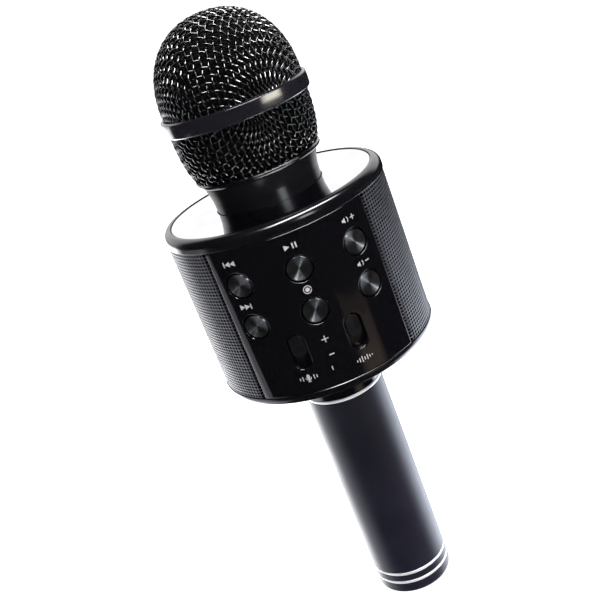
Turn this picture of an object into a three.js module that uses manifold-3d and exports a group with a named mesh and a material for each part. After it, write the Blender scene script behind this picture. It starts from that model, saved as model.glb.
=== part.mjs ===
// Karaoke microphone with a loudspeaker in its housing.
// Millimetres, +Z along the microphone's axis from the foot of the handle to the top of the grille.
// The origin is the centre of the handle's flat foot, and the control panel faces -Y.
import * as THREE from "three";
import { mergeVertices } from "three/addons/utils/BufferGeometryUtils.js";
import Module from "manifold-3d";

const wasm = await Module();
wasm.setup();

// ---- driving dimensions -------------------------------------------------------------------
const HANDLE_R = 15.3;
const HANDLE_WALL = 1.7;
const TRIM_R = 15.45; // bright rings stand a little proud of the handle
const TRIM_HEIGHT = 1.2;
const END_RING_Z = 4.7; // underside of the ring on the end cap
const TUBE_RING_Z = 8.8; // underside of the ring at the foot of the tube
const TOP_RING_Z = 91.8; // underside of the ring at the head of the tube
const FOOT_R = 14.1; // flat foot, inside the rounded edge

const HOUSING_R = 41;
const HOUSING_LOW = 107.8; // lowest edge of the bottom rim
const WINDOW_LOW = 111.5; // seam under the panel and grilles
const WINDOW_HIGH = 168; // seam over the panel and grilles
const HOUSING_HIGH = 172.7; // lip round the mirror plate
const WALL = 2.2;
const PANEL_HALF_DEG = 41.5;
const PLATE_R = 37.5; // both round plates
const PLATE_TOP = 172.4;

const NECK_TOP = 183;
const COLLAR_TOP = 185;
const BAND_LOW = 203;
const BAND_HIGH = 208.9;
const BAND_R = 26.6;
const GRILLE_R = 25.5;
const GRILLE_TOP = 238;
const DOME_POWER = 2.2; // exponent of the dome's superellipse section
const MESH = 1.2; // wire mesh, over both crossing wires

const BUTTON_R = 4.3;
const WELL_R = 4.8;
const BUTTON_FACE = 40.6; // distance of the cap's face from the axis
const BUTTON_ANGLE = 30;
const BUTTON_ROWS = [155.1, 139.6];
const SLOT_ANGLE = 14.3;
const SLOT_Z = 127.25;
const SLOT_HALF = [3.2, 6.55];
const KNOB_HALF = [2.65, 4.25];
const BOARD_FACE = -29.6; // the control board's front, in Y
const DRIVER_Y = 2;
const DRIVER_Z = 139.7;
const DRIVER_R = 21;
const SIDE_WALL_X = 31; // outer face of the speaker frame's side walls
const BATTERY_R = 9.2;
const BATTERY_Z = [12.6, 77.6];
const GAP = 0.3; // clearance between pieces that fit together

const FINE = 36; // segments round the large shells
const MEDIUM = 24;
const COARSE = 16;

// ---- materials ----------------------------------------------------------------------------
const material = (color, roughness, metalness = 0) =>
  new THREE.MeshStandardMaterial({ color, roughness, metalness });
const GLOSS_BLACK = material(0x0b0b0e, 0.12);
const SATIN_BLACK = material(0x17171f, 0.45);
const WIRE_BLACK = material(0x0c0c0e, 0.3, 0.6);
const MATTE_BLACK = material(0x141414, 0.8);
const MIRROR = material(0xe8eaec, 0.03, 1);
const CHROME = material(0xd0d2d6, 0.1, 1);
const SPUN = material(0x55565a, 0.3, 1);
const STEEL = material(0x9a9ca0, 0.35, 1);
const FOAM = material(0x101010, 1);
const RUBBER = material(0x1b1b1b, 0.9);
const BOARD = material(0x17472e, 0.6);
const PAPER = material(0x1e1e20, 0.85);
const WRAP = material(0x2b5c9e, 0.4);
const LAMP = material(0xb9d4ff, 0.2);

// ---- helpers ------------------------------------------------------------------------------
const radians = (deg) => (deg * Math.PI) / 180;
const group = new THREE.Group();

function put(name, geometry, look) {
  const mesh = new THREE.Mesh(geometry, look);
  mesh.name = name;
  group.add(mesh);
  return mesh;
}

// Area of an outline, positive when it runs anticlockwise.
const areaOf = (points) =>
  points.reduce((sum, [r, z], i) => {
    const [nextR, nextZ] = points[(i + 1) % points.length];
    return sum + (r * nextZ - nextR * z) / 2;
  }, 0);

// A solid of revolution about Z from its section, listed as [radius, height] in either order.
function turned(section, segments) {
  const outline = areaOf(section) > 0 ? [...section] : [...section].reverse();
  const onAxis = outline.filter(([r]) => r === 0).length === 2;
  if (onAxis) {
    while (!(outline[0][0] === 0 && outline.at(-1)[0] === 0))
      outline.push(outline.shift());
  } else outline.push(outline[0]);
  const points = outline.map(([r, z]) => new THREE.Vector2(r, z));
  return new THREE.LatheGeometry(points, segments).rotateX(Math.PI / 2);
}

// A ring of rectangular section.
const ring = (inner, outer, low, high, segments) =>
  turned(
    [
      [inner, low],
      [outer, low],
      [outer, high],
      [inner, high],
    ],
    segments,
  );

const rod = (radius, low, high, segments) =>
  turned(
    [
      [0, low],
      [radius, low],
      [radius, high],
      [0, high],
    ],
    segments,
  );

// Lays a shape made along Z along Y instead.
const alongY = (geometry) => geometry.rotateX(-Math.PI / 2);

const block = (width, depth, height, x, y, z) =>
  new THREE.BoxGeometry(width, depth, height).translate(x, y, z);

function solid(geometry) {
  const bare = geometry.clone();
  bare.deleteAttribute("normal");
  bare.deleteAttribute("uv");
  const merged = mergeVertices(bare, 1e-4);
  return new wasm.Manifold(
    new wasm.Mesh({
      numProp: 3,
      vertProperties: merged.attributes.position.array,
      triVerts: new Uint32Array(merged.index.array),
    }),
  );
}

function geometryOf(manifold) {
  const mesh = manifold.getMesh();
  const geometry = new THREE.BufferGeometry();
  geometry.setAttribute(
    "position",
    new THREE.BufferAttribute(mesh.vertProperties, 3),
  );
  geometry.setIndex(new THREE.BufferAttribute(mesh.triVerts, 1));
  return geometry;
}

const cut = (body, ...tools) =>
  geometryOf(tools.reduce((left, t) => left.subtract(solid(t)), solid(body)));
const join = (...bodies) =>
  geometryOf(bodies.map(solid).reduce((sum, next) => sum.add(next)));

// Points along an arc in a section or an outline, from one angle to another in degrees.
const arc = (x, y, radius, from, to, steps) =>
  Array.from({ length: steps + 1 }, (_, i) => {
    const angle = radians(from + ((to - from) * i) / steps);
    return [x + radius * Math.cos(angle), y + radius * Math.sin(angle)];
  });

// An outline in plan, extruded from one height to another.
function raised(outline, low, high) {
  const shape = new THREE.Shape(outline.map(([x, y]) => new THREE.Vector2(x, y)));
  return new THREE.ExtrudeGeometry(shape, {
    depth: high - low,
    bevelEnabled: false,
  }).translate(0, 0, low);
}

// An oval with round ends, tall along Y, as an outline.
const oval = ([halfWidth, halfHeight], steps = 8) => [
  ...arc(0, halfHeight - halfWidth, halfWidth, 0, 180, steps),
  ...arc(0, halfWidth - halfHeight, halfWidth, 180, 360, steps),
];

// Turns a shape made on the XY plane, thick along Z, to stand on the housing: its Z points
// out along the radius at the given angle from -Y, its Y points up, at the given height.
function onHousing(geometry, angleDeg, height) {
  return geometry
    .rotateX(Math.PI / 2)
    .rotateZ(radians(angleDeg))
    .translate(0, 0, height);
}

// A point on the housing's inside, by angle from -Y, as plan coordinates.
const polar = (radius, deg) => [
  radius * Math.sin(radians(deg)),
  -radius * Math.cos(radians(deg)),
];

// ---- head: grille, foam, capsule ----------------------------------------------------------
// Superellipse section of a dome, from its rim up to its crown.
const domeSection = (radius, base, height, steps) =>
  Array.from({ length: steps + 1 }, (_, i) => {
    if (i === steps) return [0, base + height];
    const angle = (i / steps) * (Math.PI / 2);
    return [
      radius * Math.cos(angle) ** (2 / DOME_POWER),
      base + height * Math.sin(angle) ** (2 / DOME_POWER),
    ];
  });
const DOME_BASE = BAND_HIGH + 0.1;

put(
  "grille_dome",
  turned(
    [
      ...domeSection(GRILLE_R, DOME_BASE, GRILLE_TOP - DOME_BASE, 8),
      ...domeSection(
        GRILLE_R - MESH,
        DOME_BASE,
        GRILLE_TOP - DOME_BASE - MESH,
        7,
      ).reverse(),
    ],
    FINE,
  ),
  WIRE_BLACK,
);

put(
  "grille_band",
  turned(
    [
      [24.7, BAND_LOW],
      [BAND_R - 0.6, BAND_LOW],
      [BAND_R, BAND_LOW + 0.8],
      [BAND_R, BAND_HIGH - 0.8],
      [BAND_R - 0.6, BAND_HIGH],
      [24.7, BAND_HIGH],
    ],
    FINE,
  ),
  GLOSS_BLACK,
);

// Radius of the grille's lower bowl at a height: it curves in towards the collar.
const bowlRadius = (z) => {
  const drop = (BAND_LOW - z) / (BAND_LOW - COLLAR_TOP);
  return GRILLE_R - 0.1 - 2.8 * drop ** 1.7;
};
const bowlHeights = Array.from({ length: 5 }, (_, i) =>
  THREE.MathUtils.lerp(BAND_LOW - 0.1, COLLAR_TOP + 0.1, i / 4),
);
put(
  "grille_bowl",
  turned(
    [
      ...bowlHeights.map((z) => [bowlRadius(z), z]),
      ...bowlHeights.map((z) => [bowlRadius(z) - MESH, z]).reverse(),
    ],
    FINE,
  ),
  WIRE_BLACK,
);

const SLEEVE = [16.6, 17.9]; // the collar's threaded sleeve
put(
  "grille_collar",
  turned(
    [
      [SLEEVE[0], 178.6],
      [SLEEVE[1], 178.6],
      [SLEEVE[1], NECK_TOP + 0.15],
      [22.6, NECK_TOP + 0.15],
      [23.1, NECK_TOP + 0.6],
      [23.1, NECK_TOP + 1.5],
      [22.6, COLLAR_TOP],
      [SLEEVE[0], COLLAR_TOP],
    ],
    FINE,
  ),
  GLOSS_BLACK,
);

const FOAM_CLEARANCE = 0.5;
const FOAM_CAVITY_R = 12;
put(
  "foam_windscreen",
  turned(
    [
      [FOAM_CAVITY_R, 187.4],
      [bowlRadius(187.4) - MESH - FOAM_CLEARANCE, 187.4],
      [bowlRadius(195) - MESH - FOAM_CLEARANCE, 195],
      ...domeSection(
        GRILLE_R - MESH - FOAM_CLEARANCE,
        DOME_BASE,
        GRILLE_TOP - DOME_BASE - MESH - FOAM_CLEARANCE,
        6,
      ),
      [0, 217],
      [8, 216.6],
      [FOAM_CAVITY_R, 214],
    ],
    MEDIUM,
  ),
  FOAM,
);

put(
  "capsule_cartridge",
  turned(
    [
      [0, 199.5],
      [7.6, 199.5],
      [7.6, 209.5],
      [8.6, 209.8],
      [8.6, 212.8],
      [7.4, 213.6],
      [0, 213.6],
    ],
    COARSE,
  ),
  STEEL,
);

put(
  "capsule_cradle",
  turned(
    [
      [0, 178.3],
      [16.2, 178.3],
      [16.2, 186.9],
      [9.6, 186.9],
      [9.6, 208.8],
      [7.9, 208.8],
      [7.9, 199.2],
      [0, 199.2],
    ],
    COARSE,
  ),
  RUBBER,
);

// A cable of round section along a smooth route.
function cable(points, radius, steps, sides) {
  const route = new THREE.CatmullRomCurve3(
    points.map(([x, y, z]) => new THREE.Vector3(x, y, z)),
  );
  const section = new THREE.Shape(
    arc(0, 0, radius, 0, 360, sides)
      .slice(0, sides)
      .map(([x, y]) => new THREE.Vector2(x, y)),
  );
  return new THREE.ExtrudeGeometry(section, { steps, extrudePath: route });
}

const LEAD_Z = 148;
put(
  "capsule_lead",
  cable(
    [
      [0, 0, 178],
      [0, 0, 170],
      [1, -3, 160],
      [5, -12, 150.5],
      [8, -20, LEAD_Z],
      [8, BOARD_FACE + 2, LEAD_Z],
    ],
    1,
    18,
    8,
  ),
  RUBBER,
);

// ---- neck ---------------------------------------------------------------------------------
const NECK_FLANGE_R = 27;
const NECK_FOOT_R = 19.6;
const NECK_SCREW_R = 23.8;
const NECK_SEAT = 168.7;
const FLANGE_TOP = 170.1;
const neckScrewAngles = [60, 240];
const screwHole = (radius, deg, low, high) =>
  rod(1.4, low, high, 8).translate(...polar(radius, deg), 0);

put(
  "neck",
  cut(
    turned(
      [
        [14, NECK_SEAT],
        [NECK_FLANGE_R, NECK_SEAT],
        [NECK_FLANGE_R, FLANGE_TOP],
        [NECK_FOOT_R, FLANGE_TOP],
        [NECK_FOOT_R, 174],
        [19.8, 176.8],
        [20.3, 179.4],
        [20.95, 181.6],
        [21.4, NECK_TOP],
        [18.2, NECK_TOP],
        [18.2, 178],
        [14, 178],
      ],
      FINE,
    ),
    ...neckScrewAngles.map((deg) =>
      screwHole(NECK_SCREW_R, deg, NECK_SEAT - 1, FLANGE_TOP + 1),
    ),
  ),
  GLOSS_BLACK,
);

neckScrewAngles.forEach((deg, i) =>
  put(
    `neck_screw_${i + 1}`,
    turned(
      [
        [0, 166.2],
        [1, 166.2],
        [1, FLANGE_TOP + 0.1],
        [2.1, FLANGE_TOP + 0.1],
        [2.1, FLANGE_TOP + 1],
        [0, FLANGE_TOP + 1],
      ],
      10,
    ).translate(...polar(NECK_SCREW_R, deg), 0),
    STEEL,
  ),
);

// ---- housing ------------------------------------------------------------------------------
const SHOULDER = 2.9; // radius of the rims' rounded edges
const CORE_R = 37.4; // what reaches up or down inside the panel and grilles
put(
  "top_rim",
  cut(
    turned(
      [
        [PLATE_R + 0.3, HOUSING_HIGH],
        ...arc(
          HOUSING_R - SHOULDER,
          HOUSING_HIGH - SHOULDER,
          SHOULDER,
          85,
          0,
          4,
        ),
        [HOUSING_R, WINDOW_HIGH + 0.05],
        [CORE_R, WINDOW_HIGH + 0.05],
        [CORE_R, 165.6],
        [15.5, 165.6],
        [15.5, NECK_SEAT - GAP],
        [32.5, NECK_SEAT - GAP],
        [32.5, PLATE_TOP - 1.3],
        [PLATE_R + 0.3, PLATE_TOP - 1.3],
      ],
      FINE,
    ),
    ...neckScrewAngles.map((deg) =>
      screwHole(NECK_SCREW_R, deg, 165, NECK_SEAT + 1),
    ),
  ),
  GLOSS_BLACK,
);

put(
  "top_mirror_plate",
  ring(NECK_FOOT_R + GAP, PLATE_R, PLATE_TOP - 1, PLATE_TOP, FINE),
  MIRROR,
);

put(
  "bottom_rim",
  turned(
    [
      [HOUSING_R, WINDOW_LOW - 0.05],
      ...arc(
        HOUSING_R - SHOULDER,
        HOUSING_LOW + SHOULDER,
        SHOULDER,
        0,
        -85,
        4,
      ),
      [PLATE_R + 0.3, HOUSING_LOW],
      [PLATE_R + 0.3, 111.7],
      [34.5, 111.7],
      [34.5, 113],
      [CORE_R, 113],
      [CORE_R, WINDOW_LOW - 0.05],
    ],
    FINE,
  ),
  GLOSS_BLACK,
);

// Sector of the housing's wall between two angles from -Y.
function wallSector(inner, outer, fromDeg, toDeg, steps) {
  const outline = [
    ...arc(0, 0, outer, fromDeg - 90, toDeg - 90, steps),
    ...arc(0, 0, inner, toDeg - 90, fromDeg - 90, steps),
  ];
  return raised(outline, WINDOW_LOW + 0.1, WINDOW_HIGH - 0.1);
}

const buttons = [
  ["previous_button", -BUTTON_ANGLE, BUTTON_ROWS[0]],
  ["next_button", -BUTTON_ANGLE, BUTTON_ROWS[1]],
  ["scan_button", 0, BUTTON_ROWS[0]],
  ["record_button", 0, BUTTON_ROWS[1]],
  ["volume_up_button", BUTTON_ANGLE, BUTTON_ROWS[0]],
  ["volume_down_button", BUTTON_ANGLE, BUTTON_ROWS[1]],
];
const sliders = [
  ["microphone_volume", -SLOT_ANGLE],
  ["effect", SLOT_ANGLE],
];

put(
  "front_panel",
  cut(
    wallSector(
      HOUSING_R - WALL,
      HOUSING_R,
      -PANEL_HALF_DEG,
      PANEL_HALF_DEG,
      14,
    ),
    ...buttons.map(([, deg, z]) =>
      onHousing(rod(WELL_R, 34, 45, 20), deg, z),
    ),
    ...sliders.map(([, deg]) =>
      onHousing(raised(oval(SLOT_HALF, 6), 34, 45), deg, SLOT_Z),
    ),
  ),
  GLOSS_BLACK,
);

// The perforated sheets tuck in beside the panel and end at the rear spine.
const GRILLE_OUT = 40.7;
const SHEET = 0.8;
const TUCK_DEG = 47;
const TUCK_DEPTH = 2.2;
const REAR_DEG = 177.4;
const tuckRadius = (share) =>
  GRILLE_OUT - TUCK_DEPTH * (1 - Math.sqrt(1 - (1 - share) ** 2));
for (const [side, sign] of [
  ["left", -1],
  ["right", 1],
]) {
  const outer = [];
  for (let i = 0; i <= 4; i++) {
    const share = i / 4;
    const deg = THREE.MathUtils.lerp(PANEL_HALF_DEG + 0.7, TUCK_DEG, share);
    outer.push([tuckRadius(share), deg]);
  }
  for (let i = 1; i <= 20; i++)
    outer.push([GRILLE_OUT, THREE.MathUtils.lerp(TUCK_DEG, REAR_DEG, i / 20)]);
  const inner = outer.map(([r, deg]) => [r - SHEET, deg]).reverse();
  const outline = [...outer, ...inner].map(([r, deg]) => polar(r, sign * deg));
  put(
    `${side}_speaker_grille`,
    raised(outline, WINDOW_LOW + 0.1, WINDOW_HIGH - 0.1),
    WIRE_BLACK,
  );
}
put(
  "rear_spine",
  wallSector(CORE_R + GAP, HOUSING_R - 0.1, 178, 182, 2),
  GLOSS_BLACK,
);

// ---- speaker frame and loudspeakers -------------------------------------------------------
const FRAME_LOW = 113.3;
const FRAME_HIGH = 165.3;
const FRAME_WALL = 2.2;
const FRONT_WALL_Y = -25;
const BACK_WALL_Y = 29;

// The frame's plan: flat sides for the loudspeakers, round corners, inset by a wall.
function framePlan(inset) {
  const corners = [
    [SIDE_WALL_X - 8, FRONT_WALL_Y + 8, 8, -90, 0],
    [SIDE_WALL_X - 14, BACK_WALL_Y - 14, 14, 0, 90],
    [14 - SIDE_WALL_X, BACK_WALL_Y - 14, 14, 90, 180],
    [8 - SIDE_WALL_X, FRONT_WALL_Y + 8, 8, 180, 270],
  ];
  return corners.flatMap(([x, y, r, from, to]) =>
    arc(x, y, r - inset, from, to, 4),
  );
}
put(
  "speaker_frame",
  cut(
    raised(framePlan(0), FRAME_LOW, FRAME_HIGH),
    raised(framePlan(FRAME_WALL), FRAME_LOW - 1, FRAME_HIGH + 1),
    rod(DRIVER_R - 2, -40, 40, 24)
      .rotateY(Math.PI / 2)
      .translate(0, DRIVER_Y, DRIVER_Z),
    alongY(rod(2, -30, -20, 10)).translate(8, 0, LEAD_Z),
  ),
  MATTE_BLACK,
);

for (const [side, sign] of [
  ["left", -1],
  ["right", 1],
]) {
  // Sections are drawn with their height as the distance from the frame's outer wall, outwards.
  const place = (geometry) =>
    geometry
      .rotateY((sign * Math.PI) / 2)
      .translate(sign * SIDE_WALL_X, DRIVER_Y, DRIVER_Z);
  put(
    `${side}_speaker_basket`,
    place(
      turned(
        [
          [DRIVER_R, 0.2],
          [DRIVER_R, 1.4],
          [17.6, 1.4],
          [11, -9.6],
          [6.4, -9.6],
          [6.4, -10.8],
          [12, -10.8],
          [18.4, 0.2],
        ],
        MEDIUM,
      ),
    ),
    STEEL,
  );
  put(
    `${side}_speaker_magnet`,
    place(rod(12, -18.6, -11, COARSE)),
    STEEL,
  );
  put(
    `${side}_speaker_cone`,
    place(
      turned(
        [
          [0, -3.6],
          [4, -4.2],
          [5.4, -5.4],
          [5.4, -9.2],
          [6, -9.2],
          [6, -6.6],
          [15.6, 0.9],
          [17.2, 0.9],
          [17.2, 1.5],
          [15.3, 1.5],
          [6.2, -5.6],
          [4.2, -3.6],
          [0, -2.9],
        ],
        COARSE,
      ),
    ),
    PAPER,
  );
}

// ---- controls -----------------------------------------------------------------------------
put(
  "control_board",
  block(42, 1.5, 50, 0, BOARD_FACE + 0.75, 140),
  BOARD,
);

for (const [name, deg, z] of buttons) {
  const flange = 37.3;
  const tip = deg === 0 ? 31.75 : 37.05;
  put(
    name,
    onHousing(
      turned(
        [
          [0, BUTTON_FACE - 0.15],
          [BUTTON_R - 0.3, BUTTON_FACE],
          [BUTTON_R, BUTTON_FACE - 0.3],
          [BUTTON_R, flange + 0.8],
          [5.3, flange + 0.8],
          [5.3, flange],
          [1.2, flange],
          [1.2, tip],
          [0, tip],
        ],
        16,
      ),
      deg,
      z,
    ),
    SPUN,
  );
  const switchTop = -31.1;
  const switchX = -switchTop * Math.tan(radians(deg));
  put(
    name.replace("button", "switch"),
    join(
      block(4.2, 1, 4.2, switchX, BOARD_FACE - 0.6, z),
      alongY(rod(1.2, switchTop, BOARD_FACE - 0.7, 8)).translate(switchX, 0, z),
    ),
    STEEL,
  );
}

const SKIRT_HALF = [3.6, 9.2]; // plate behind the slot, always wider than it
const KNOB_Z = SLOT_Z + SLOT_HALF[1] - KNOB_HALF[1] - GAP; // rest at the slot's upper end
for (const [name, deg] of sliders) {
  const skirt = 37.5;
  const face = 40.7;
  put(
    `${name}_slider`,
    onHousing(
      join(
        raised(oval(KNOB_HALF, 6), skirt, face),
        block(2 * SKIRT_HALF[0], 2 * SKIRT_HALF[1], 0.7, 0, 0, skirt + 0.35),
        block(2, 3, 3, 0, 0, skirt - 1.2),
      ),
      deg,
      KNOB_Z,
    ),
    GLOSS_BLACK,
  );
  const potX = Math.sign(deg) * 8.3;
  put(
    `${name}_potentiometer`,
    block(6.6, 3.4, 17, potX, BOARD_FACE - 1.8, SLOT_Z),
    STEEL,
  );
}

// ---- underside: plate, sockets, power switch, lamp ----------------------------------------
const PLATE_LOW = 108.7;
const UNDER_TOP = 111.4; // top of the bottom plate
const COLLAR_THROAT = 17.6; // handle collar where it passes the plate
const SOCKET_R = 24.5;
const CORNER_R = 26.6;
const SWITCH_X = 25.5;
const BELOW = 100; // cuts through the plate start and end clear of it
const ABOVE = 120;

// Places a shape drawn at the origin, long along X, at an angle from +Y round the axis.
const around = (geometry, radius, deg) =>
  geometry.translate(0, radius, 0).rotateZ(radians(deg));
const tall = (width, depth, low, high) =>
  block(width, depth, high - low, 0, 0, (low + high) / 2);

put(
  "bottom_plate",
  cut(
    ring(COLLAR_THROAT + GAP, PLATE_R, PLATE_LOW, UNDER_TOP, FINE),
    around(tall(8.2, 3.6, BELOW, ABOVE), SOCKET_R, 0),
    around(rod(3.9, BELOW, ABOVE, 16), CORNER_R, -45),
    around(tall(14.6, 3.2, BELOW, ABOVE), CORNER_R, 45),
    tall(3.2, 6.4, BELOW, ABOVE).translate(SWITCH_X, 0, 0),
    rod(1.4, BELOW, ABOVE, 10).translate(-SWITCH_X, 0, 0),
  ),
  GLOSS_BLACK,
);
put(
  "charging_socket",
  around(
    cut(tall(7.6, 3, 109.2, 116), tall(6.8, 2, 105, 113.5)),
    SOCKET_R,
    0,
  ),
  STEEL,
);
put(
  "audio_socket",
  around(
    turned(
      [
        [1.8, 108.9],
        [3.6, 108.9],
        [3.6, 121],
        [0, 121],
        [0, 119.5],
        [1.8, 119.5],
      ],
      16,
    ),
    CORNER_R,
    -45,
  ),
  MATTE_BLACK,
);
put(
  "card_slot",
  around(
    cut(tall(14, 2.6, 109.2, 124), tall(11.6, 1.2, 105, 122)),
    CORNER_R,
    45,
  ),
  STEEL,
);
put(
  "power_switch_body",
  tall(4.4, 9, UNDER_TOP + 1.1, UNDER_TOP + 4).translate(SWITCH_X, 0, 0),
  STEEL,
);
const POWER_TRAVEL = 2.6;
put(
  "power_switch_knob",
  join(
    tall(2.6, 3, HOUSING_LOW + 0.3, UNDER_TOP + 0.5),
    tall(4.2, 4.4, UNDER_TOP + 0.2, UNDER_TOP + 0.8),
  ).translate(SWITCH_X, -POWER_TRAVEL / 2, 0),
  MATTE_BLACK,
);
put(
  "status_lamp",
  turned(
    [
      [0, PLATE_LOW - 0.1],
      [0.8, PLATE_LOW],
      [1.1, PLATE_LOW + 0.3],
      [1.1, UNDER_TOP],
      [0, UNDER_TOP],
    ],
    10,
  ).translate(-SWITCH_X, 0, 0),
  LAMP,
);

// ---- handle -------------------------------------------------------------------------------
const TUBE_INNER = HANDLE_R - HANDLE_WALL;
const SPIGOT_R = TUBE_INNER - GAP;
const FLANGE_SEAT = UNDER_TOP + GAP;
put(
  "handle_collar",
  turned(
    [
      [8, 80.5],
      [SPIGOT_R, 80.5],
      [SPIGOT_R, TOP_RING_Z + TRIM_HEIGHT + 0.1],
      [HANDLE_R, TOP_RING_Z + TRIM_HEIGHT + 0.1],
      [HANDLE_R, 95.5],
      [15.7, 99],
      [16.5, 103],
      [COLLAR_THROAT, HOUSING_LOW],
      [COLLAR_THROAT, FLANGE_SEAT],
      [22.4, FLANGE_SEAT],
      [22.4, FLANGE_SEAT + 1.2],
      [8, FLANGE_SEAT + 1.2],
    ],
    FINE,
  ),
  GLOSS_BLACK,
);
put(
  "handle_top_ring",
  ring(SPIGOT_R + GAP, TRIM_R, TOP_RING_Z, TOP_RING_Z + TRIM_HEIGHT, FINE),
  CHROME,
);
const TUBE_STEP_R = 14.5; // the tube's foot, inside its bright ring
put(
  "handle_tube",
  turned(
    [
      [TUBE_INNER, TUBE_RING_Z],
      [TUBE_STEP_R, TUBE_RING_Z],
      [TUBE_STEP_R, TUBE_RING_Z + TRIM_HEIGHT + 0.1],
      [HANDLE_R, TUBE_RING_Z + TRIM_HEIGHT + 0.1],
      [HANDLE_R, TOP_RING_Z - 0.1],
      [TUBE_INNER, TOP_RING_Z - 0.1],
    ],
    FINE,
  ),
  SATIN_BLACK,
);
put(
  "handle_end_ring",
  ring(
    TUBE_STEP_R + 0.1,
    TRIM_R,
    TUBE_RING_Z,
    TUBE_RING_Z + TRIM_HEIGHT,
    FINE,
  ),
  CHROME,
);

// Screw cap: its spigot reaches up inside the tube, and its own ring sits in a groove.
const GROOVE_R = 14.4;
const CAP_FLOOR = 9;
put(
  "end_cap",
  turned(
    [
      [0, 0],
      [FOOT_R, 0],
      [HANDLE_R - 0.35, 0.45],
      [HANDLE_R, 1.3],
      [HANDLE_R, END_RING_Z - 0.05],
      [GROOVE_R, END_RING_Z - 0.05],
      [GROOVE_R, END_RING_Z + TRIM_HEIGHT + 0.05],
      [HANDLE_R, END_RING_Z + TRIM_HEIGHT + 0.05],
      [HANDLE_R, TUBE_RING_Z - 0.1],
      [SPIGOT_R, TUBE_RING_Z - 0.1],
      [SPIGOT_R, 16],
      [10, 16],
      [10, CAP_FLOOR],
      [0, CAP_FLOOR],
    ],
    FINE,
  ),
  SATIN_BLACK,
);
put(
  "end_cap_ring",
  ring(GROOVE_R + 0.1, TRIM_R, END_RING_Z, END_RING_Z + TRIM_HEIGHT, FINE),
  CHROME,
);

// Conical contact spring between the cap and the cell.
class ConicalHelix extends THREE.Curve {
  constructor(radii, heights, turns) {
    super();
    Object.assign(this, { radii, heights, turns });
  }
  getPoint(share, target = new THREE.Vector3()) {
    const angle = 2 * Math.PI * this.turns * share;
    const radius = THREE.MathUtils.lerp(...this.radii, share);
    const height = THREE.MathUtils.lerp(...this.heights, share);
    return target.set(
      radius * Math.cos(angle),
      radius * Math.sin(angle),
      height,
    );
  }
}
const WIRE_R = 0.4;
put(
  "battery_spring",
  new THREE.ExtrudeGeometry(
    new THREE.Shape(
      arc(0, 0, WIRE_R, 0, 300, 5).map(([x, y]) => new THREE.Vector2(x, y)),
    ),
    {
      steps: 30,
      extrudePath: new ConicalHelix(
        [7, 4],
        [CAP_FLOOR + WIRE_R + 0.15, BATTERY_Z[0] - WIRE_R - 0.15],
        2.5,
      ),
    },
  ),
  STEEL,
);
put(
  "battery",
  turned(
    [
      [0, BATTERY_Z[0]],
      [BATTERY_R - 0.4, BATTERY_Z[0]],
      [BATTERY_R, BATTERY_Z[0] + 0.5],
      [BATTERY_R, BATTERY_Z[1] - 0.5],
      [BATTERY_R - 0.4, BATTERY_Z[1]],
      [3, BATTERY_Z[1]],
      [3, BATTERY_Z[1] + 1],
      [0, BATTERY_Z[1] + 1],
    ],
    MEDIUM,
  ),
  WRAP,
);
put(
  "battery_sleeve",
  ring(BATTERY_R + 0.4, SPIGOT_R, 16.6, BATTERY_Z[1] + 0.6, MEDIUM),
  MATTE_BLACK,
);
put("battery_contact", ring(1, 12.6, 79, 80.1, 16), STEEL);

export default group;
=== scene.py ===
"""Looks of the karaoke microphone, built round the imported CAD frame.

Dimensions are in millimetres and are turned into metres where a mesh is made. A section is a
list of (radius, height) or (radius, height, corner radius), turned round the Z axis.
"""

import math

import bmesh
import bpy
import numpy as np
from mathutils import Matrix, Vector


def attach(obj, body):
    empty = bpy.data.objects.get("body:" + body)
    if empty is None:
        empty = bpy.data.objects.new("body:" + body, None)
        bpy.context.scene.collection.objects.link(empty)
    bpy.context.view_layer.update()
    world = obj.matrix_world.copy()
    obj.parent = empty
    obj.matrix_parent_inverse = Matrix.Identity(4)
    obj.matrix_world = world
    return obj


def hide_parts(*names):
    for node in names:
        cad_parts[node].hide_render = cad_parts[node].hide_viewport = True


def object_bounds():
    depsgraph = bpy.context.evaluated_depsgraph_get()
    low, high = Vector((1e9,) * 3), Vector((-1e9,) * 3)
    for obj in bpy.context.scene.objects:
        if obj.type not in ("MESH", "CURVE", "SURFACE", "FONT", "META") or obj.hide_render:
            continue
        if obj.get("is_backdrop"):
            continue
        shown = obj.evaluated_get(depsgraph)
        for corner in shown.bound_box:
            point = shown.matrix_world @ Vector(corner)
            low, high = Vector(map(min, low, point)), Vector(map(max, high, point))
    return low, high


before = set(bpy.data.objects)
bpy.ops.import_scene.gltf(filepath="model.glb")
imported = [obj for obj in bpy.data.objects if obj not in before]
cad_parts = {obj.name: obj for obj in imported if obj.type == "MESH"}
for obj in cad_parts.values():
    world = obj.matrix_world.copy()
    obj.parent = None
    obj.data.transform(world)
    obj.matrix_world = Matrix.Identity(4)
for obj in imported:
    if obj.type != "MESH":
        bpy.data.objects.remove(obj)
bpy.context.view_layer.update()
MM = 0.001
scene = bpy.context.scene


def add_object(name, data):
    made = bpy.data.objects.new(name, data)
    scene.collection.objects.link(made)
    return made


# ---- camera ----
CAMERA_AT = (-0.0005, -0.3307, 0.2532)
CAMERA_TURN, CAMERA_DOWN, CAMERA_ROLL = 0.59, 20.46, -21.4

lens = bpy.data.cameras.new("camera")
lens.lens, lens.sensor_width = 57.0, 36.0
lens.clip_start, lens.clip_end = 0.01, 50
camera = add_object("camera", lens)
turn = Matrix.Rotation(math.radians(CAMERA_TURN), 4, "Z")
tilt = Matrix.Rotation(math.radians(90 - CAMERA_DOWN), 4, "X")
roll = Matrix.Rotation(math.radians(CAMERA_ROLL), 4, "Z")
camera.matrix_world = Matrix.Translation(CAMERA_AT) @ turn @ tilt @ roll
scene.camera = camera


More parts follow.
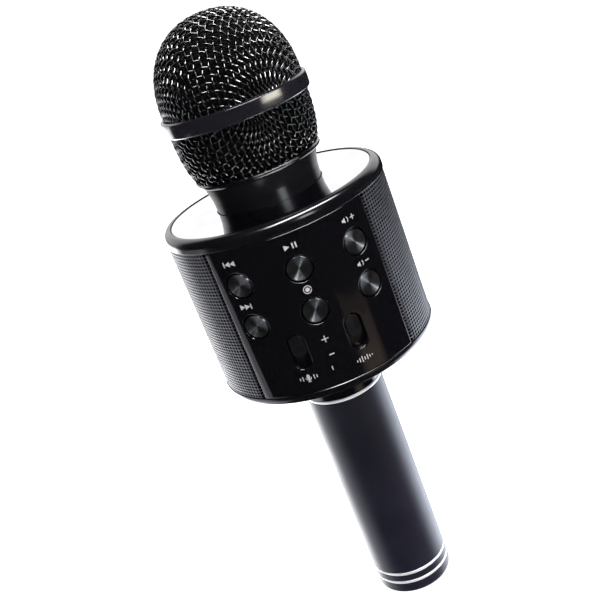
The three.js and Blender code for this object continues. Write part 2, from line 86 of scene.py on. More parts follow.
# ---- node materials ----
class Shader:
    """A node material in the making: a Principled surface with textures in object space."""

    def __init__(self, name):
        self.material = bpy.data.materials.new(name)
        self.material.use_nodes = True
        self.tree = self.material.node_tree
        self.surface = self.tree.nodes["Principled BSDF"]
        self.place = self.node("TexCoord").outputs["Object"]

    def feed(self, socket, value):
        if isinstance(value, bpy.types.NodeSocket):
            self.tree.links.new(value, socket)
        else:
            socket.default_value = value

    def set(self, **values):
        for key, value in values.items():
            self.feed(self.surface.inputs[key.replace("_", " ")], value)

    def node(self, kind, **values):
        made = self.tree.nodes.new("ShaderNode" + kind)
        for key, value in values.items():
            self.feed(made.inputs[key.replace("_", " ")], value)
        return made

    def noise(self, scale, detail=3.0, roughness=0.55, stretch=None, distortion=0.0):
        place = self.place
        if stretch:
            place = self.node("Mapping", Vector=place, Scale=stretch).outputs["Vector"]
        return self.node(
            "TexNoise", Vector=place, Scale=scale, Detail=detail, Roughness=roughness,
            Distortion=distortion,
        ).outputs["Fac"]

    def cells(self, scale):
        made = self.node("TexVoronoi", Vector=self.place, Scale=scale)
        return made.outputs["Distance"]

    def span(self, value, low, high):
        """Spreads the usual range of a texture, 0.3 to 0.7, over low to high."""
        made = self.node(
            "MapRange", Value=value, From_Min=0.3, From_Max=0.7, To_Min=low, To_Max=high
        )
        return made.outputs["Result"]

    def ramp(self, value, *stops):
        made = self.node("ValToRGB", Fac=value)
        elements = made.color_ramp.elements
        while len(elements) < len(stops):
            elements.new(0.5)
        for element, (position, colour) in zip(elements, stops):
            element.position = position
            element.color = (*colour, 1)
        return made.outputs["Color"]

    def add(self, a, b, kind="ADD"):
        made = self.node("Math")
        made.operation = kind
        for socket, value in zip(made.inputs, (a, b)):
            self.feed(socket, value)
        return made.outputs[0]

    def bump(self, height, depth_mm, strength):
        made = self.node("Bump", Height=height, Strength=strength, Distance=depth_mm * MM)
        self.set(Normal=made.outputs["Normal"])


def gloss(name, colour, rough=(0.05, 0.1), coat=1.0, dust=0.02, specular=0.5):
    """Polished plastic with faint smudges, and dust that lifts the colour a little."""
    s = Shader(name)
    smudge = s.noise(55, 4, 0.6, distortion=0.6)
    speck = s.noise(2600, 2, 0.5)
    lifted = tuple(c + dust * 0.35 for c in colour)
    s.set(
        Base_Color=s.ramp(s.add(speck, smudge, "MULTIPLY"), (0.22, colour), (0.5, lifted)),
        Roughness=s.span(smudge, *rough),
        Coat_Weight=coat, Coat_Roughness=0.03, Specular_IOR_Level=specular,
    )
    s.bump(s.noise(60, 2), 0.003, 0.1)
    return s.material


def moulded(name, colour, rough=(0.4, 0.55), grain=0.02, scale=2200, specular=0.5):
    """Satin or matt moulded plastic or paint with a fine grain."""
    s = Shader(name)
    fine = s.noise(scale, 3, 0.6)
    broad = s.noise(40, 3)
    light = tuple(min(1, c * 1.5 + 0.001) for c in colour)
    s.set(
        Base_Color=s.ramp(s.add(fine, broad, "MULTIPLY"), (0.15, colour), (0.42, light)),
        Roughness=s.span(broad, *rough),
        Specular_IOR_Level=specular,
    )
    s.bump(fine, grain, 0.6)
    return s.material


def metal(name, colour, rough=(0.15, 0.25), grain=0.004, stretch=None, metallic=1.0):
    """Bare or plated metal with fine scratches, longer along one axis where stretched."""
    s = Shader(name)
    fine = s.noise(1800, 3, 0.6, stretch=stretch)
    broad = s.noise(60, 3)
    dim = tuple(c * 0.82 for c in colour)
    s.set(
        Base_Color=s.ramp(broad, (0.3, dim), (0.65, colour)),
        Metallic=metallic,
        Roughness=s.span(fine, *rough),
    )
    s.bump(fine, grain, 0.5)
    return s.material


GROOVE_PITCH = 0.22


def spun(name):
    """Turned metal cap: grooves run round the local Z axis, so glints fan out in a bow tie."""
    s = Shader(name)
    tangent = s.node("Tangent")
    tangent.direction_type = "RADIAL"
    tangent.axis = "Z"
    split = s.node("SeparateXYZ", Vector=s.place)
    x, y = split.outputs["X"], split.outputs["Y"]
    radius = s.add(
        s.add(s.add(x, x, "MULTIPLY"), s.add(y, y, "MULTIPLY")), 0.5, "POWER"
    )
    groove = s.add(s.add(radius, 2 * math.pi / (GROOVE_PITCH * MM), "MULTIPLY"), 0.0, "SINE")
    wander = s.noise(900, 3)
    s.set(
        Base_Color=s.ramp(wander, (0.3, (0.15, 0.152, 0.16)), (0.7, (0.17, 0.172, 0.18))),
        Metallic=0.98,
        Roughness=s.span(wander, 0.30, 0.32),
        Anisotropic=0.96, Anisotropic_Rotation=0.25,
        Tangent=tangent.outputs["Tangent"],
    )
    s.bump(groove, 0.002, 0.3)
    return s.material


def foam(name):
    """Black open foam, also used for the black sheets of painted shade behind the speaker sheets,
    with round pores whose hollows are painted darker as painted shade.
    """
    s = Shader(name)
    pores = s.cells(1500)
    # painted shade: the colour is darkest in the middle of each pore, where the bump dips
    s.set(
        Base_Color=s.ramp(
            pores, (0.05, (0.0005, 0.0005, 0.0005)), (0.6, (0.0025, 0.0025, 0.0028))
        ),
        Roughness=0.95, Specular_IOR_Level=0.15,
    )
    s.bump(pores, 0.35, 0.9)
    return s.material


def circuit(name):
    """Green solder mask with faint tracks."""
    s = Shader(name)
    tracks = s.node("TexBrick", Vector=s.place, Scale=260.0, Mortar_Size=0.03)
    s.set(
        Base_Color=s.ramp(
            tracks.outputs["Fac"], (0.4, (0.012, 0.075, 0.035)), (0.6, (0.03, 0.16, 0.07))
        ),
        Roughness=s.span(s.noise(200), 0.3, 0.42),
        Coat_Weight=0.4,
    )
    s.bump(tracks.outputs["Fac"], 0.03, 0.6)
    return s.material


def paper(name):
    """Dark pressed paper with fibres."""
    s = Shader(name)
    fibre = s.noise(900, 6, 0.7, distortion=1.5)
    s.set(
        Base_Color=s.ramp(fibre, (0.3, (0.012, 0.012, 0.013)), (0.7, (0.04, 0.04, 0.042))),
        Roughness=0.85,
    )
    s.bump(fibre, 0.08, 0.7)
    return s.material


def wire(name, colour, rough, specular=0.6, coat=0.6):
    """Black-painted wire: glossy, with slightly uneven paint."""
    s = Shader(name)
    uneven = s.noise(700, 3, 0.6)
    broad = s.noise(70, 2)
    light = tuple(c * 1.6 + 0.001 for c in colour)
    s.set(
        Base_Color=s.ramp(broad, (0.35, colour), (0.65, light)),
        Roughness=s.span(uneven, *rough),
        Specular_IOR_Level=specular, Coat_Weight=coat, Coat_Roughness=0.06,
    )
    s.bump(uneven, 0.01, 0.4)
    return s.material


def frosted(name):
    """Cloudy, slightly clear plastic."""
    s = Shader(name)
    cloud = s.noise(500)
    s.set(
        Base_Color=s.ramp(cloud, (0.3, (0.55, 0.68, 0.85)), (0.7, (0.75, 0.85, 0.95))),
        Roughness=s.span(cloud, 0.15, 0.3),
        Transmission_Weight=0.4, Subsurface_Weight=0.2,
    )
    return s.material


RIM = gloss("rim_gloss", (0.0026, 0.0024, 0.0034), rough=(0.16, 0.22), coat=0.4, dust=0.006)
NECK = gloss("neck_gloss", (0.002, 0.0018, 0.003), (0.2, 0.24), 0.06, 0.001, specular=0.3)
TRIM = metal("silver_trim", (0.86, 0.87, 0.88), (0.28, 0.36), 0.001, metallic=0.4)
# painted shade: black sheets behind the perforated sheets stand in for the shade inside the
# housing
SHADE_SHEET = foam("speaker_cloth")
GLOSS = gloss("gloss_black", (0.0022, 0.0020, 0.0032), dust=0.006)
PANEL = gloss("panel_gloss", (0.0026, 0.0024, 0.0032), rough=(0.05, 0.09), dust=0.0012)
BAND = gloss("band_gloss", (0.007, 0.0065, 0.009), rough=(0.12, 0.18), coat=0.6, dust=0.008)
SATIN = moulded("satin_black", (0.0062, 0.0057, 0.0155), (0.36, 0.44), 0.004, 3500)
SLIDER = moulded("slider_black", (0.0036, 0.0035, 0.0046), (0.24, 0.28), 0.002, 1800)
INNER = moulded("inner_plastic", (0.014, 0.014, 0.015), (0.5, 0.65), 0.02, 1500)
RUBBER = moulded("rubber", (0.012, 0.012, 0.012), (0.7, 0.85), 0.03, 1600, 0.3)
INK = moulded("panel_print", (0.27, 0.26, 0.265), (0.5, 0.6), 0.004, 2500)
WIRE = wire("woven_wire", (0.0008, 0.0008, 0.0010), (0.07, 0.11))
# painted shade: a copy of the woven wire, darker and with weaker reflections, for the
# downward-facing bowl
BOWL_WIRE_SHADED = wire("bowl_wire_shaded", (0.0006, 0.0006, 0.0008), (0.08, 0.12), specular=0.3, coat=0.25)
SHEET = moulded("perforated_sheet", (0.027, 0.027, 0.034), (0.30, 0.38), 0.004, 1800, 1.0)
MIRROR = metal("mirror_plate", (0.93, 0.94, 0.95), (0.02, 0.05), 0.0006)
STEEL = metal("steel", (0.56, 0.56, 0.57), (0.25, 0.4), 0.006, (1, 1, 0.1))
GOLD = metal("contact_gold", (0.83, 0.62, 0.28), (0.2, 0.3))
SPUN = spun("spun_metal")
FOAM = foam("foam")
BOARD = circuit("circuit_board")
PAPER = paper("cone_paper")
LAMP = frosted("lamp")
WRAP = moulded("cell_wrap", (0.035, 0.09, 0.26), (0.25, 0.35), 0.003, 900)


# ---- mesh helpers ----
ALL_SMOOTH = 60


def piece(name, verts, faces, look, body, stands_for=None, slot=None, sharp=32, place=None):
    """Makes a piece from vertices in millimetres, shades it and hangs it on its CAD body."""
    mesh = bpy.data.meshes.new(name)
    points = np.asarray(verts, float) * MM
    mesh.from_pydata(points.tolist(), [], [tuple(map(int, f)) for f in faces])
    bm = bmesh.new()
    bm.from_mesh(mesh)
    bmesh.ops.remove_doubles(bm, verts=bm.verts, dist=1e-7)
    bmesh.ops.recalc_face_normals(bm, faces=bm.faces)
    bm.to_mesh(mesh)
    bm.free()
    return from_mesh(name, mesh, look, body, stands_for, sharp, place)


def from_mesh(name, mesh, look, body, stands_for=None, sharp=32, place=None):
    """Shades a mesh in metres, hangs it on its CAD body and hides the CAD part that it stands for.

    Edges that turn by more than sharp degrees stay crisp. A dense net, at ALL_SMOOTH, is left
    without the normals modifier.
    """
    mesh.validate()
    mesh.shade_smooth()
    mesh.set_sharp_from_angle(angle=math.radians(sharp))
    mesh.materials.append(look)
    made = add_object(name, mesh)
    if place is not None:
        made.matrix_world = place
    if sharp < ALL_SMOOTH:
        even = made.modifiers.new("even_normals", "WEIGHTED_NORMAL")
        even.keep_sharp = True
        even.weight = 80
    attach(made, body)
    if stands_for:
        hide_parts(stands_for)
    return made


def soft(points, radius=0.2, steps=4):
    """A section with its corners rounded. A point may carry its own radius as a third number."""
    made = []
    count = len(points)
    for k, point in enumerate(points):
        p = np.array(point[:2], float)
        r = point[2] if len(point) > 2 else radius
        if r <= 0 or p[0] < 1e-6:
            made.append(tuple(p))
            continue
        a = np.array(points[k - 1][:2], float) - p
        b = np.array(points[(k + 1) % count][:2], float) - p
        la, lb = np.linalg.norm(a), np.linalg.norm(b)
        a, b = a / la, b / lb
        half = math.acos(max(-1.0, min(1.0, float(a @ b)))) / 2
        if half > math.radians(87):  # hardly a corner at all
            made.append(tuple(p))
            continue
        back = min(r / math.tan(half), 0.45 * la, 0.45 * lb)
        r = back * math.tan(half)
        centre = p + (a + b) / np.linalg.norm(a + b) * (r / math.sin(half))
        start, end = p + a * back - centre, p + b * back - centre
        swing = math.acos(max(-1.0, min(1.0, float(start @ end) / (r * r))))
        side = 1 if start[0] * end[1] - start[1] * end[0] > 0 else -1
        for i in range(steps + 1):
            t = side * swing * i / steps
            x = centre[0] + start[0] * math.cos(t) - start[1] * math.sin(t)
            made.append((x, centre[1] + start[0] * math.sin(t) + start[1] * math.cos(t)))
    return made


def lathe(section, segments=160):
    """Vertices and faces of a solid of revolution about Z from a closed section of (r, z)."""
    verts, rows = [], []
    turn = 2 * np.pi * np.arange(segments) / segments
    for r, z in section:
        first = len(verts)
        if r < 1e-6:
            verts.append((0.0, 0.0, z))
            rows.append(np.full(segments, first))
        else:
            verts += list(zip(r * np.cos(turn), r * np.sin(turn), np.full(segments, z)))
            rows.append(first + np.arange(segments))
    pairs = list(zip(rows, rows[1:]))
    if not (section[0][0] < 1e-6 and section[-1][0] < 1e-6):
        pairs.append((rows[-1], rows[0]))
    faces = []
    for a, b in pairs:
        a2, b2 = np.roll(a, -1), np.roll(b, -1)
        if a[0] == a[1]:
            faces += list(zip(a, b, b2))
        elif b[0] == b[1]:
            faces += list(zip(a, b, a2))
        else:
            faces += list(zip(a, b, b2, a2))
    return verts, faces


def turned(name, section, look, body, stands_for, slot, radius=0.2, segments=160):
    piece(name, *lathe(soft(section, radius), segments), look, body, stands_for, slot)


def arc(x, y, radius, start, end, steps=10):
    t = np.radians(np.linspace(start, end, steps + 1))
    return list(zip(x + radius * np.cos(t), y + radius * np.sin(t)))


def rounded(width, height, radius, steps):
    """The outline of a rectangle with round corners, centred on the origin."""
    w, h = width / 2 - radius, height / 2 - radius
    corners = ((w, h, 0), (-w, h, 90), (-w, -h, 180), (w, -h, 270))
    return [p for x, y, start in corners for p in arc(x, y, radius, start, start + 90, steps)]


def quads(*corners):
    """Faces from arrays of vertex numbers, one array for each corner of the faces."""
    return np.stack(corners, -1).reshape(-1, len(corners)).tolist()


def edge_strip(grid, count):
    """Faces that join the four edges of a grid of vertices to its copy, count numbers on."""
    faces = []
    for edge in (grid[0], grid[-1], grid[:, 0], grid[:, -1]):
        faces += quads(edge[:-1], edge[1:], edge[1:] + count, edge[:-1] + count)
    return faces


def oval(half_width, half_height, steps=16, x=0.0, y=0.0):
    d = half_height - half_width
    upper = arc(x, y + d, half_width, 0, 180, steps)
    return upper + arc(x, y - d, half_width, 180, 360, steps)


def circle(radius, steps=48, x=0.0, y=0.0):
    return arc(x, y, radius, 0, 360 - 360 / steps, steps - 1)


def plate_mesh(outlines, thickness, bevel, resolution=3):
    """A flat plate from outlines in its plane, holes included, with rounded edges.

    It is in millimetres, with its middle plane at height 0.
    """
    curve = bpy.data.curves.new("outline", "CURVE")
    curve.dimensions = "2D"
    curve.fill_mode = "BOTH"
    curve.extrude = thickness / 2 - bevel
    curve.bevel_depth = bevel
    curve.bevel_resolution = resolution
    curve.offset = -bevel
    for outline in outlines:
        line = curve.splines.new("POLY")
        line.points.add(len(outline) - 1)
        for point, (x, y) in zip(line.points, outline):
            point.co = (x, y, 0, 1)
        line.use_cyclic_u = True
    holder = add_object("outline", curve)
    bpy.context.view_layer.update()
    made = bpy.data.meshes.new_from_object(
        holder.evaluated_get(bpy.context.evaluated_depsgraph_get())
    )
    bpy.data.objects.remove(holder)
    bpy.data.curves.remove(curve)
    return made


def wrap(mesh, radius, step=0.8):
    """Bends a plate, drawn as (arc length, height, depth), round the Z axis; it faces -Y at 0."""
    bm = bmesh.new()
    bm.from_mesh(mesh)
    xs = [v.co.x for v in bm.verts]
    low, high = min(xs), max(xs)
    cuts = max(1, int((high - low) / step))
    for i in range(1, cuts):
        x = low + (high - low) * i / cuts
        parts = bm.verts[:] + bm.edges[:] + bm.faces[:]
        bmesh.ops.bisect_plane(bm, geom=parts, plane_co=(x, 0, 0), plane_no=(1, 0, 0), dist=1e-5)
    bmesh.ops.remove_doubles(bm, verts=bm.verts, dist=1e-5)
    for v in bm.verts:
        angle, r = v.co.x / radius, radius + v.co.z
        v.co = Vector((r * math.sin(angle), -r * math.cos(angle), v.co.y)) * MM
    bmesh.ops.recalc_face_normals(bm, faces=bm.faces)
    bm.to_mesh(mesh)
    bm.free()
    return mesh


def facing(degrees, z):
    """Matrix that turns a shape to face out: its Z points out at an angle from -Y, its Y up."""
    a = math.radians(degrees)
    out = Vector((math.sin(a), -math.cos(a), 0))
    side = Vector((math.cos(a), math.sin(a), 0))
    up = Vector((0, 0, 1))
    made = Matrix((side, up, out)).transposed().to_4x4()
    made.translation = up * z * MM
    return made


# ---- woven head ----
WIRE_R = 0.36
PITCH = 2.55
DOME_POWER, BOWL_POWER = 2.2, 2.8


def merge(*parts):
    """Joins several (vertices, faces) into one."""
    verts, faces, base = [], [], 0
    for v, f in parts:
        verts.append(np.asarray(v, float))
        faces += [tuple(base + k for k in face) for face in f]
        base += len(v)
    return np.vstack(verts), faces


def tube(path, up, radius, sides):
    """A round wire along a path, with up the direction its section is turned to."""
    ahead = np.gradient(path, axis=0)
    ahead /= np.linalg.norm(ahead, axis=1)[:, None]
    side = np.cross(ahead, up)
    side /= np.linalg.norm(side, axis=1)[:, None]
    up = np.cross(side, ahead)
    turn = (2 * np.pi * np.arange(sides) / sides)[None, :, None]
    verts = path[:, None] + radius * (side[:, None] * np.cos(turn) + up[:, None] * np.sin(turn))
    grid = np.arange(len(path) * sides).reshape(-1, sides)
    a, b = grid[:-1], grid[1:]
    faces = quads(a, b, np.roll(b, -1, 1), np.roll(a, -1, 1))
    return verts.reshape(-1, 3), faces + [grid[0].tolist(), grid[-1][::-1].tolist()]


def woven_net(radius, height, power, pitch, skirt):
    """One quarter of a square weave pressed over a dome, as a fabric net of equal sides.

    The dome's section is a superellipse; it goes on below its rim as a cylinder, down to -skirt.
    """

    def outside(p):
        up = max(p[2], 0.0)
        return (math.hypot(p[0], p[1]) / radius) ** power + (up / height) ** power - 1

    # the first wire each way runs over the top: its crossings lie one pitch apart
    t = np.linspace(math.pi / 2, 0, 4000)
    rim_r = radius * np.cos(t).clip(0) ** (2 / power)
    rim_z = height * np.sin(t) ** (2 / power)
    path = list(zip(rim_r, rim_z))
    path += [(radius, -0.02 * i) for i in range(1, int(skirt / 0.02) + 200)]
    guide = [(0.0, height)]
    for r, z in path:
        if math.dist((r, z), guide[-1]) >= pitch:
            guide.append((r, z))
            if z < -skirt:
                break
    count = len(guide)
    net = np.full((count, count, 3), np.nan)
    for i, (r, z) in enumerate(guide):
        net[i, 0] = (r, 0, z)
        net[0, i] = (0, r, z)
    # every other crossing lies one pitch from two known ones, on the dome: find the turn
    # about the line between them by halving
    for i in range(1, count):
        for j in range(1, count):
            a, b, d = net[i - 1, j], net[i, j - 1], net[i - 1, j - 1]
            if np.isnan(a[0]) or np.isnan(b[0]) or max(a[2], b[2]) < -skirt:
                continue
            middle, across = (a + b) / 2, b - a
            half = np.linalg.norm(across) / 2
            if half >= pitch * 0.995:
                continue
            across = across / (2 * half)
            away = middle - d
            away = away - across * (away @ across)
            away = away / np.linalg.norm(away)
            rise = np.cross(across, away)
            reach = math.sqrt(pitch**2 - half**2)
            if rise @ np.array([middle[0], middle[1], max(middle[2], 0.0)]) < 0:
                rise = -rise
            low, high = -1.3, 1.3
            for _ in range(44):
                mid = (low + high) / 2
                p = middle + reach * (away * math.cos(mid) + rise * math.sin(mid))
                if outside(p) > 0:
                    high = mid
                else:
                    low = mid
            net[i, j] = p
    return net


def dome_normals(points, radius, height, power):
    """Directions straight out of the dome at some points."""
    up = points[:, 2].clip(0)
    rho = np.hypot(points[:, 0], points[:, 1]).clip(1e-6)
    gr = rho ** (power - 1) / radius**power
    gz = up ** (power - 1) / height**power
    n = np.stack([gr * points[:, 0] / rho, gr * points[:, 1] / rho, gz], 1)
    return n / np.linalg.norm(n, axis=1)[:, None]


def woven_dome(radius, height, power, skirt, keep, fine=6):
    """Tubes of a plain weave over a dome: each wire goes over and under its neighbours."""
    net = woven_net(radius, height, power, PITCH, skirt)
    count = len(net)
    wires = []
    for family in (0, 1):
        for j in range(1 - count, count):
            run = []
            for i in range(1 - count, count):
                a, b = (i, j) if family == 0 else (j, i)
                p = net[abs(a), abs(b)] * (1 if a >= 0 else -1, 1 if b >= 0 else -1, 1)
                if not np.isnan(p[0]):
                    run.append((i, p))
            if len(run) < 4:
                continue
            order = np.array([i for i, _ in run])
            nodes = np.array([p for _, p in run])
            nodes = np.vstack([2 * nodes[0] - nodes[1], nodes, 2 * nodes[-1] - nodes[-2]])
            # a smooth curve (Catmull-Rom) through the crossings
            share = np.arange(fine) / fine
            p0, p1, p2, p3 = nodes[:-3], nodes[1:-2], nodes[2:-1], nodes[3:]
            s = share[None, :, None]
            line = 0.5 * (
                2 * p1[:, None]
                + (p2 - p0)[:, None] * s
                + (2 * p0 - 5 * p1 + 4 * p2 - p3)[:, None] * s**2
                + (3 * p1 - p0 - 3 * p2 + p3)[:, None] * s**3
            )
            line = line.reshape(-1, 3)
            phase = (order[:-1, None] + share[None, :]).reshape(-1)
            over = 1 if (j + family) % 2 == 0 else -1
            rise = over * np.cos(np.pi * phase) * WIRE_R * 1.02
            line = np.vstack([line, nodes[-2]])
            rise = np.append(rise, over * math.cos(math.pi * order[-1]) * WIRE_R)
            normal = dome_normals(line, radius, height, power)
            line = line + normal * rise[:, None]
            kept = keep(line)
            edges = np.flatnonzero(np.diff(np.concatenate([[0], kept.astype(int), [0]])))
            for first, last in zip(edges[::2], edges[1::2]):
                if last - first < 4:
                    continue
                wires.append(tube(line[first:last], normal[first:last], WIRE_R, 6))
    return merge(*wires)


def spin(points, degrees):
    """Turns points round the Z axis."""
    a = math.radians(degrees)
    turn = np.array([[math.cos(a), -math.sin(a), 0], [math.sin(a), math.cos(a), 0], [0, 0, 1]])
    return points @ turn.T


BAND_LOW, BAND_HIGH = 203.0, 208.9
DOME_FOOT = BAND_HIGH + 0.1
BOWL_TOP, BOWL_DEPTH, BOWL_KEPT = 203.4, 29.5, 18.9
GRILLE_R, GRILLE_TOP = 25.5, 238.0
WEAVE_DEPTH = 2.05 * WIRE_R  # from the middle of the weave to its outside
WEAVE_R = GRILLE_R - WEAVE_DEPTH
TUCKED = 0.9  # how far the wires go on behind the band
DOME_TURN, BOWL_TURN = -22.0, -35.0

height = GRILLE_TOP - WEAVE_DEPTH - DOME_FOOT
points, faces = woven_dome(WEAVE_R, height, DOME_POWER, 3.0, lambda p: p[:, 2] > -TUCKED)
points = spin(points, DOME_TURN) + (0, 0, DOME_FOOT)
piece("dome_weave", points, faces, WIRE, "grille", "grille_dome", "wire_mesh", ALL_SMOOTH)

points, faces = woven_dome(
    WEAVE_R - 0.1, BOWL_DEPTH, BOWL_POWER, 2.0,
    lambda p: (p[:, 2] > -TUCKED) & (p[:, 2] < BOWL_KEPT),
)
points = spin(points, BOWL_TURN) * (1, 1, -1) + (0, 0, BOWL_TOP)
# the bowl's wires take the darker copy of the woven wire: painted shade
piece("bowl_weave", points, faces, BOWL_WIRE_SHADED, "grille", "grille_bowl", "wire_mesh", ALL_SMOOTH)

turned(
    "head_band",
    [
        (24, BAND_LOW + 0.4), (25.8, BAND_LOW, 0.3), (26.5, BAND_LOW + 0.6, 0.4),
        (26.6, (BAND_LOW + BAND_HIGH) / 2, 2),
        (26.5, BAND_HIGH - 0.6, 0.4), (25.8, BAND_HIGH, 0.3), (24, BAND_HIGH - 0.4),
    ],
    BAND, "grille", "grille_band", "gloss_black", segments=220,
)
turned(
    "head_collar",
    [
        (16.6, 178.6), (17.9, 178.6), (17.9, 180.2, 0.1), (17.5, 180.5, 0.1), (17.9, 180.8, 0.1),
        (17.5, 181.3, 0.1), (17.9, 181.8, 0.1), (17.9, 183.15, 0.1), (22.5, 183.15, 0.3),
        (23.1, 183.7, 0.35), (23.1, 184.4, 0.35), (22.4, 185, 0.3), (16.6, 185),
    ],
    GLOSS, "grille", "grille_collar", "gloss_black", segments=200,
)


# ---- foam windscreen ----
FOAM_INSET = 1.75  # from the outside of the weave in to the foam
FOAM_LOW, FOAM_BORE = 187.4, 12.0

wide, tall = GRILLE_R - FOAM_INSET, GRILLE_TOP - DOME_FOOT - FOAM_INSET
section = [(FOAM_BORE, FOAM_LOW)]
section += [
    (wide - 0.1 - 2.8 * ((BAND_LOW - z) / 18) ** 1.7, z)
    for z in np.linspace(FOAM_LOW, 202.0, 14)
]
section += [
    (wide * math.cos(a) ** (2 / DOME_POWER), DOME_FOOT + tall * math.sin(a) ** (2 / DOME_POWER))
    for a in np.linspace(0, math.pi / 2, 40)[:-1]
]
section += [(0, DOME_FOOT + tall), (0, 217)]
section += [(4, 216.9), (8, 216.6), (10.5, 215.5), (FOAM_BORE, 214)]
section += [(FOAM_BORE, z) for z in np.linspace(211, 190, 8)]
verts, faces = lathe(section, 144)
made = piece("foam_liner", verts, faces, FOAM, "grille", "foam_windscreen", "foam", ALL_SMOOTH)
pores = bpy.data.textures.new("pores", "CLOUDS")
pores.noise_scale = 1.6 * MM
rough = made.modifiers.new("pores", "DISPLACE")
rough.texture = pores
rough.texture_coords = "LOCAL"
rough.strength = 0.5 * MM
rough.mid_level = 1.0


# ---- neck, rims and plates ----
HOUSING_R = 41.0
SHOULDER_R = 2.9
SHOULDER_AT = HOUSING_R - SHOULDER_R
WINDOW_LOW, WINDOW_HIGH = 111.6, 167.9

turned(
    "neck_column",
    [
        (14, 168.7), (27, 168.7), (27, 170.1), (19.6, 170.1), (19.6, 172.45, 0.05),
        (19.6, 174, 2.5), (19.8, 176.8, 5), (20.3, 179.4, 5), (20.95, 181.6, 4),
        (21.4, 183, 0.25), (18.2, 183, 0.2), (18.2, 178), (14, 178),
    ],
    NECK, "housing", "neck", "gloss_black", segments=200,
)
rim = [(37.8, 172.7, 0.12)]
rim += [(r, z, 0) for r, z in arc(SHOULDER_AT, 169.8, SHOULDER_R, 82, 2, 14)]
rim += [
    (HOUSING_R, 168.3, 0.12), (40.75, 168.05, 0.1), (37.4, 168.05), (37.4, 165.6), (15.5, 165.6),
    (15.5, 168.4), (32.5, 168.4), (32.5, 171.1), (37.8, 171.1),
]
turned("top_rim_shell", rim, RIM, "housing", "top_rim", "gloss_black", 0.12, 240)
turned(
    "mirror_disc",
    [(19.9, 171.4), (37.5, 171.4), (37.5, 172.4, 0.15), (19.9, 172.4, 0.05)],
    MIRROR, "housing", "top_mirror_plate", "mirror_plate", 0.0, 240,
)
rim = [(HOUSING_R, 111.2, 0.12)]
rim += [(r, z, 0) for r, z in arc(SHOULDER_AT, 110.7, SHOULDER_R, -2, -82, 14)]
rim += [
    (37.8, 107.8, 0.12), (37.8, 111.7), (34.5, 111.7), (34.5, 113), (37.4, 113),
    (37.4, 111.45), (40.75, 111.45, 0.1),
]
turned("bottom_rim_shell", rim, RIM, "housing", "bottom_rim", "gloss_black", 0.12, 240)


# ---- control panel ----
PANEL_HALF = 41.5  # degrees to each side of -Y
PANEL_THICK = 2.2
# name, degrees from -Y and height
BUTTONS = [
    ("previous", -30, 155.1), ("next", -30, 139.6), ("scan", 0, 155.1), ("record", 0, 139.6),
    ("volume_up", 30, 155.1), ("volume_down", 30, 139.6),
]
SLIDERS = [("microphone_volume", -14.3), ("effect", 14.3)]
SLOT_Z, KNOB_Z = 127.25, 129.25
CAP_FACE, PLUNGER_END, SHORT_END = 40.6, 31.75, 37.05


def along(degrees):
    """Arc length on the housing's surface."""
    return math.radians(degrees) * HOUSING_R


middle = (WINDOW_LOW + WINDOW_HIGH) / 2
outer = rounded(2 * along(PANEL_HALF), WINDOW_HIGH - WINDOW_LOW, 0.5, 4)
outer = [(x, y + middle) for x, y in outer]
holes = [circle(4.8, 56, along(d), z) for _, d, z in BUTTONS]
holes += [oval(3.2, 6.55, 20, along(d), SLOT_Z) for _, d in SLIDERS]
mesh = plate_mesh([outer, *holes], PANEL_THICK, 0.28)
mesh.transform(Matrix.Translation((0, 0, -PANEL_THICK / 2)))
wrap(mesh, HOUSING_R, 0.72)
from_mesh("control_panel", mesh, PANEL, "housing", "front_panel", 30)


# dished caps; the two in the middle reach in to their switches
rim = [(1.2, -0.30, 0), (2.4, -0.24, 0), (3.3, -0.14, 0)]
rim += [(3.75, -0.06, 0.2), (4.05, 0, 0.12), (4.3, -0.3, 0.2)]
for name, degrees, z in BUTTONS:
    end = PLUNGER_END if degrees == 0 else SHORT_END
    section = [(0, CAP_FACE - 0.32), *[(r, CAP_FACE + up, edge) for r, up, edge in rim]]
    section += [(4.3, 38.3), (5.3, 38.1), (5.3, 37.3), (1.2, 37.3), (1.2, end), (0, end)]
    verts, faces = lathe(soft(section, 0.1), 72)
    piece(
        f"{name}_cap", verts, faces, SPUN, f"{name}_key", f"{name}_button", "spun_metal", 30,
        facing(degrees, z),
    )


def extruded(outline, low, high, bevel, crown=0.0, rings=4):
    """A solid with an outline in plan, a rounded top edge and a slightly crowned top."""
    outline = np.array(outline)
    centre = outline.mean(0)
    count = len(outline)
    tangent = np.roll(outline, -1, 0) - np.roll(outline, 1, 0)
    normal = np.stack([tangent[:, 1], -tangent[:, 0]], 1)
    normal /= np.linalg.norm(normal, axis=1)[:, None]
    if ((outline - centre) * normal).sum() < 0:
        normal = -normal
    rows = [np.column_stack([outline, np.full(count, low)])]
    for i in range(rings + 1):
        a = math.pi / 2 * i / rings
        moved = outline - normal * bevel * (1 - math.cos(a))
        rows.append(np.column_stack([moved, np.full(count, high - bevel * (1 - math.sin(a)))]))
    inner = outline - normal * bevel
    for share in (0.75, 0.5, 0.25):
        flat = centre + (inner - centre) * share
        rows.append(np.column_stack([flat, np.full(count, high + crown * (1 - share**2))]))
    verts = np.vstack([*rows, [[*centre, high + crown]], [[*centre, low]]])
    faces = []
    for k in range(len(rows) - 1):
        for i in range(count):
            j = (i + 1) % count
            a, b = k * count, (k + 1) * count
            faces.append((a + i, a + j, b + j, b + i))
    top, bottom, last = len(verts) - 2, len(verts) - 1, (len(rows) - 1) * count
    for i in range(count):
        j = (i + 1) % count
        faces.append((last + i, last + j, top))
        faces.append((j, i, bottom))
    return verts, faces


def lift(mesh, z):
    """Takes a flat plate drawn in millimetres to its height, in metres."""
    mesh.transform(Matrix.Scale(MM, 4) @ Matrix.Translation((0, 0, z)))


